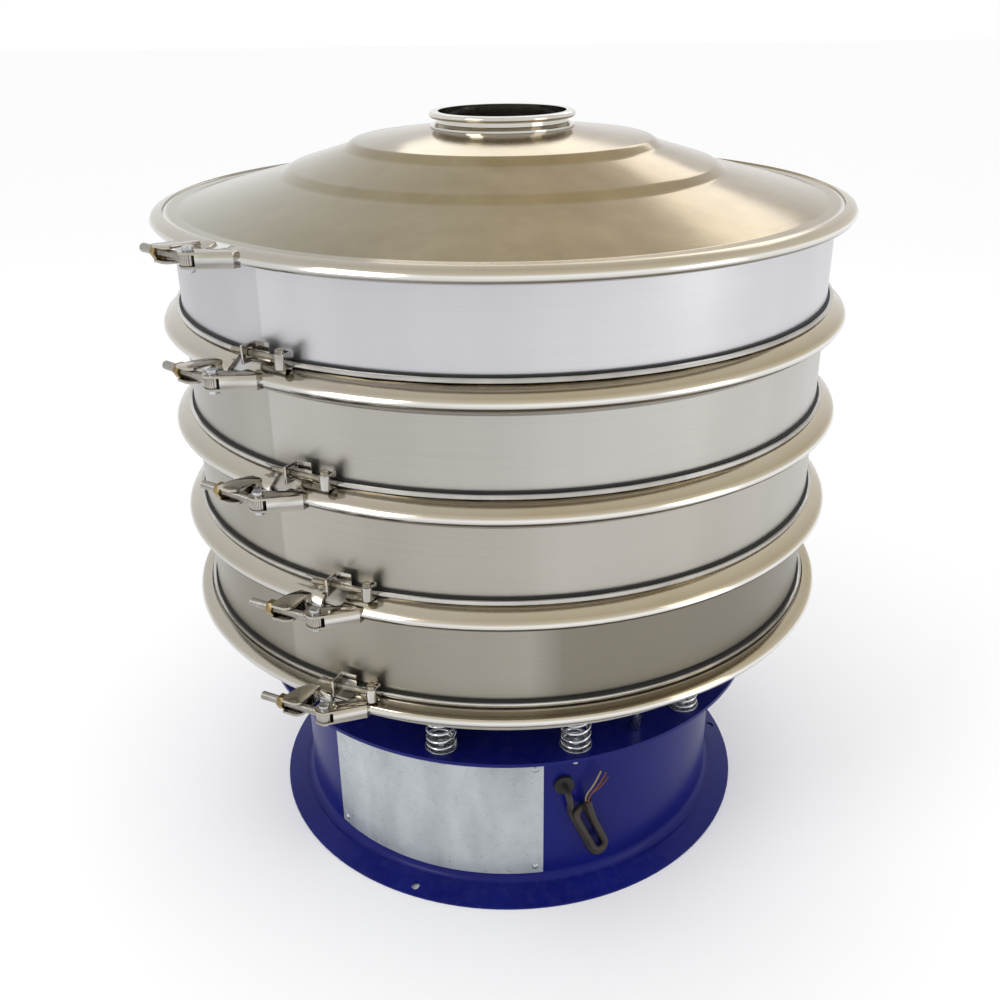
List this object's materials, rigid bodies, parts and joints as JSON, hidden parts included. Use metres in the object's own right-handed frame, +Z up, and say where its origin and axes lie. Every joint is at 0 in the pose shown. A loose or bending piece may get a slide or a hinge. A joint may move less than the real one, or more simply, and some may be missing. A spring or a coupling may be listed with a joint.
{
  "type": "vibrating sieve",
  "caption": "Round vibrating sieve: stacked screening decks held by ring clamps, a domed cover with an open feed collar, on coil springs over a flared drum base.",
  "frame": {"origin": "floor level at the centre of the base's foot ring", "axes": "+Z up through the feed collar; the access plate and the clamp closures face -Y"},
  "size_m": [1.1552, 1.145, 1.179],
  "materials": {
    "base_paint": "satin",
    "polished_steel": "polished",
    "satin_steel": "satin",
    "film_plate": "satin",
    "mesh_steel": "satin",
    "zinc": "satin",
    "brass": "satin",
    "rubber": "matte",
    "cable_sheath": "matte",
    "core_sheath": "matte",
    "motor_paint": "satin",
    "cast_iron": "matte",
    "core_iron": "matte"
  },
  "bodies": {
    "base": {"base_drum": "base_paint", "spring_shelf": "base_paint", "base_foot": "base_paint", "access_plate": "film_plate", "plate_screws": "zinc", "cable_grommet": "rubber", "motor_cable": "cable_sheath", "cable_cores": "core_sheath", "lower_spring_seats": "zinc", "limit_posts": "zinc", "support_springs": "zinc"},
    "sieve_stack": {"upper_spring_seats": "zinc", "bottom_pan": "satin_steel", "motor_seat": "satin_steel", "motor_housing": "motor_paint", "motor_end_bells": "cast_iron", "motor_bearings": "polished_steel", "motor_bolts": "zinc", "stator_core": "core_iron", "deck_frame_1": "satin_steel", "screen_1": "mesh_steel", "deck_frame_2": "satin_steel", "screen_2": "mesh_steel", "deck_frame_3": "satin_steel", "screen_3": "mesh_steel", "deck_frame_4": "satin_steel", "screen_4": "mesh_steel", "joint_gaskets": "rubber", "mesh_hems": "rubber", "mesh_hoop_2": "polished_steel", "mesh_hoop_3": "polished_steel", "mesh_hoop_4": "polished_steel", "mesh_hoop_5": "polished_steel", "hoop_bolts": "zinc", "hoop_nuts": "brass", "ring_clamp_1": "polished_steel", "ring_clamp_2": "polished_steel", "ring_clamp_3": "polished_steel", "ring_clamp_4": "polished_steel", "ring_clamp_5": "polished_steel", "clevis_pins": "zinc", "cover": "polished_steel", "inlet_collar": "polished_steel"},
    "rotor": {"rotor_shaft": "core_iron", "upper_weight": "cast_iron", "lower_weight": "cast_iron"},
    "swing_bolt_1": {"swing_bolt_1": "zinc"},
    "swing_nut_1": {"swing_nut_1": "brass"},
    "swing_bolt_2": {"swing_bolt_2": "zinc"},
    "swing_nut_2": {"swing_nut_2": "brass"},
    "swing_bolt_3": {"swing_bolt_3": "zinc"},
    "swing_nut_3": {"swing_nut_3": "brass"},
    "swing_bolt_4": {"swing_bolt_4": "zinc"},
    "swing_nut_4": {"swing_nut_4": "brass"},
    "swing_bolt_5": {"swing_bolt_5": "zinc"},
    "swing_nut_5": {"swing_nut_5": "brass"}
  },
  "joints": [
    {"name": "bounce", "type": "slide", "parent": "base", "child": "sieve_stack", "axis": [0, 0, 1], "range_m": [-0.008, 0.008], "stiffness_N_per_m": 250200, "springref_m": 0.01, "deforming": ["support_springs"]},
    {"name": "motor_spin", "type": "hinge", "parent": "sieve_stack", "child": "rotor", "pos_m": [0, 0, 0.2], "axis": [0, 0, 1], "continuous": true},
    {"name": "swing_1", "type": "hinge", "parent": "sieve_stack", "child": "swing_bolt_1", "pos_m": [-0.38411, -0.40751, 1.049], "axis": [0, 0, 1], "range_deg": [0, 95]},
    {"name": "swing_2", "type": "hinge", "parent": "sieve_stack", "child": "swing_bolt_2", "pos_m": [-0.36966, -0.42067, 0.897], "axis": [0, 0, 1], "range_deg": [0, 95]},
    {"name": "swing_3", "type": "hinge", "parent": "sieve_stack", "child": "swing_bolt_3", "pos_m": [-0.31966, -0.45981, 0.745], "axis": [0, 0, 1], "range_deg": [0, 95]},
    {"name": "swing_4", "type": "hinge", "parent": "sieve_stack", "child": "swing_bolt_4", "pos_m": [-0.25256, -0.49983, 0.593], "axis": [0, 0, 1], "range_deg": [0, 95]},
    {"name": "swing_5", "type": "hinge", "parent": "sieve_stack", "child": "swing_bolt_5", "pos_m": [-0.25256, -0.49983, 0.441], "axis": [0, 0, 1], "range_deg": [0, 95]},
    {"name": "slacken_1", "type": "slide", "parent": "swing_bolt_1", "child": "swing_nut_1", "axis": [-0.7314, 0.682, 0], "range_m": [0, 0.022]},
    {"name": "slacken_2", "type": "slide", "parent": "swing_bolt_2", "child": "swing_nut_2", "axis": [-0.7547, 0.6561, 0], "range_m": [0, 0.022]},
    {"name": "slacken_3", "type": "slide", "parent": "swing_bolt_3", "child": "swing_nut_3", "axis": [-0.8241, 0.5664, 0], "range_m": [0, 0.022]},
    {"name": "slacken_4", "type": "slide", "parent": "swing_bolt_4", "child": "swing_nut_4", "axis": [-0.8949, 0.4462, 0], "range_m": [0, 0.022]},
    {"name": "slacken_5", "type": "slide", "parent": "swing_bolt_5", "child": "swing_nut_5", "axis": [-0.8949, 0.4462, 0], "range_m": [0, 0.022]}
  ]
}
